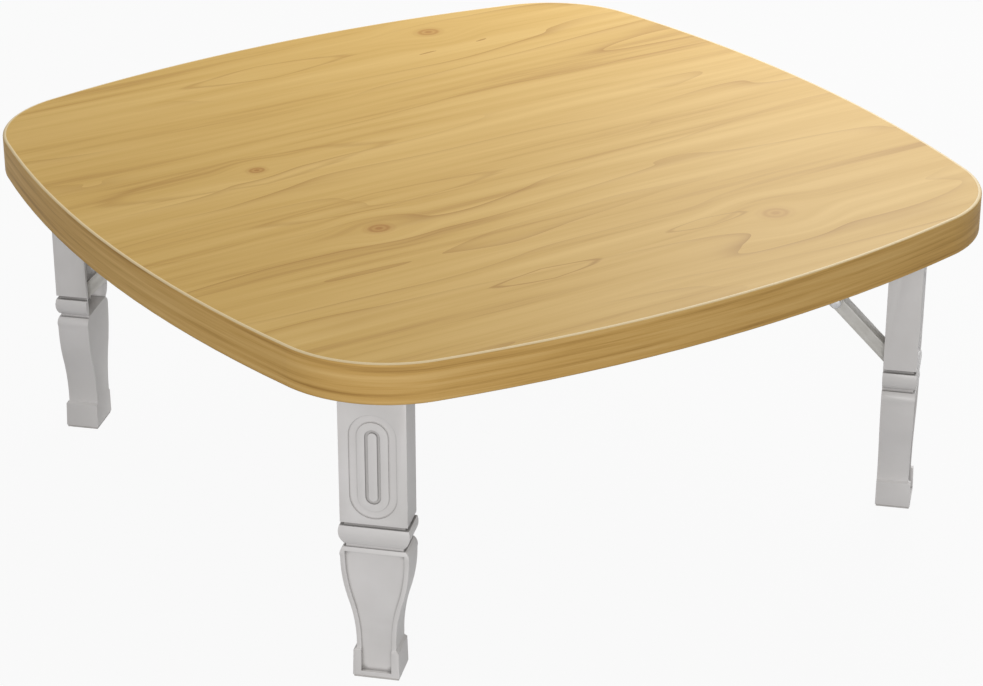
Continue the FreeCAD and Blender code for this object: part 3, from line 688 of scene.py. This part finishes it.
enamel = stove_enamel()
half_rivet = rivet_mesh()
for corner in CORNERS:
    for link in (f"lower_link_{corner}", f"upper_link_{corner}"):
        fit(rounded(link, PRESSED_EDGE, PRESSED_STEPS), link, enamel)
    for pin in (f"stay_board_pin_{corner}", f"stay_leg_pin_{corner}"):
        fit(rounded(pin, PRESSED_EDGE, PRESSED_STEPS), pin, zinc)
    rivet = f"middle_rivet_{corner}"
    middles = [(low + high) / 2 for low, high in solid_boxes(rivet)]
    outward = (middles[1] - middles[0]).normalized()
    places = []
    for middle, way in zip(middles, (-outward, outward)):
        start = middle - way * (RIVET_HEAD_THICK + RIVET_SHANK_LENGTH) / 2
        places.append(Matrix.Translation(start) @ way.to_track_quat("Z", "Y").to_matrix().to_4x4())
    fit(joined(f"{rivet}_piece", half_rivet, places), rivet, zinc)


# Floor, light and camera
# A plain pale floor, a broad soft lamp behind on the right, another further off in front on the left,
# and the camera at the photograph's own angle.

FLOOR_GREY = "#8C8C8C"
FLOOR_GLOW = 0.94
FLOOR_SIZE = 12.0
KEY_PLACE = (1.15, 0.7, 1.2)
KEY_SIZE = 0.9
KEY_POWER = 25
FILL_PLACE = (-1.5, -2.2, 0.9)
FILL_SIZE = 0.8
FILL_POWER = 27
SKY_WHITE = "#FFFFFF"
SKY_STRENGTH = 0.38
CAMERA_AZIMUTH = math.radians(-32.74)
CAMERA_ELEVATION = math.radians(21.20)
CAMERA_DISTANCE = 2.4083
CAMERA_SIDE_TURN = math.radians(-0.245)
CAMERA_DOWN_TURN = math.radians(3.778)
CAMERA_LENS = 104.2
board_middle = Vector((0, 0, cad_high.z))


def seen_directly(tree):
    """1 for what the camera sees, also in a mirror or through glass, and 0 for light that only fills in."""
    path = node(tree, "LightPath", {}).outputs
    glossy = {0: path["Is Glossy Ray"], 1: path["Is Transmission Ray"]}
    mirrored = node(tree, "Math", glossy, operation="MAXIMUM")
    return node(tree, "Math", {0: path["Is Camera Ray"], 1: mirrored}, operation="MAXIMUM")


def pale_floor():
    """Matte paint on a smooth floor, lifted towards white for the eye, so that the shadow stays soft."""
    paint = {"Roughness": 0.9, "Base Color": linear(FLOOR_GREY)}
    material, tree, shader, _ = new_finish("pale_floor", paint)
    white = node(tree, "Emission", {})
    glow = node(tree, "Math", {0: seen_directly(tree), 1: FLOOR_GLOW}, operation="MULTIPLY")
    lifted = node(tree, "MixShader", {0: glow, 1: shader, 2: white})
    tree.links.new(lifted.outputs["Shader"], tree.nodes["Material Output"].inputs["Surface"])
    return material


def look_along(piece, direction):
    """Turns a lamp or a camera to look in a direction."""
    piece.rotation_euler = direction.to_track_quat("-Z", "Y").to_euler()


def lamp(name, place, size, power):
    """A square soft lamp that looks at the middle of the board."""
    light = bpy.data.lights.new(name, "AREA")
    light.size = size
    light.energy = power
    made = bpy.data.objects.new(name, light)
    bpy.context.scene.collection.objects.link(made)
    made.location = place
    look_along(made, board_middle - made.location)


def out_to(azimuth, elevation):
    """The direction out from the table at an azimuth and an elevation."""
    level = math.cos(elevation)
    return Vector((math.sin(azimuth) * level, -math.cos(azimuth) * level, math.sin(elevation)))


floor_body = bmesh.new()
bmesh.ops.create_grid(floor_body, size=FLOOR_SIZE / 2)
floor = shaped("floor", floor_body)
floor.data.materials.append(pale_floor())

lamp("key_lamp", KEY_PLACE, KEY_SIZE, KEY_POWER)
lamp("fill_lamp", FILL_PLACE, FILL_SIZE, FILL_POWER)
world = bpy.data.worlds.new("studio")
world.use_nodes = True
sky = world.node_tree.nodes["Background"]
sky.inputs["Color"].default_value = linear(SKY_WHITE)
sky_range = {"Value": seen_directly(world.node_tree), "To Min": SKY_STRENGTH, "To Max": 1.0}
sky_level = node(world.node_tree, "MapRange", sky_range)
world.node_tree.links.new(sky_level.outputs["Result"], sky.inputs["Strength"])
bpy.context.scene.world = world
bpy.context.scene.view_settings.view_transform = "Standard"

camera_data = bpy.data.cameras.new("camera")
camera_data.lens = CAMERA_LENS
camera = bpy.data.objects.new("camera", camera_data)
bpy.context.scene.collection.objects.link(camera)
camera.location = board_middle + out_to(CAMERA_AZIMUTH, CAMERA_ELEVATION) * CAMERA_DISTANCE
look_along(camera, -out_to(CAMERA_AZIMUTH + CAMERA_SIDE_TURN, CAMERA_ELEVATION + CAMERA_DOWN_TURN))
bpy.context.scene.camera = camera
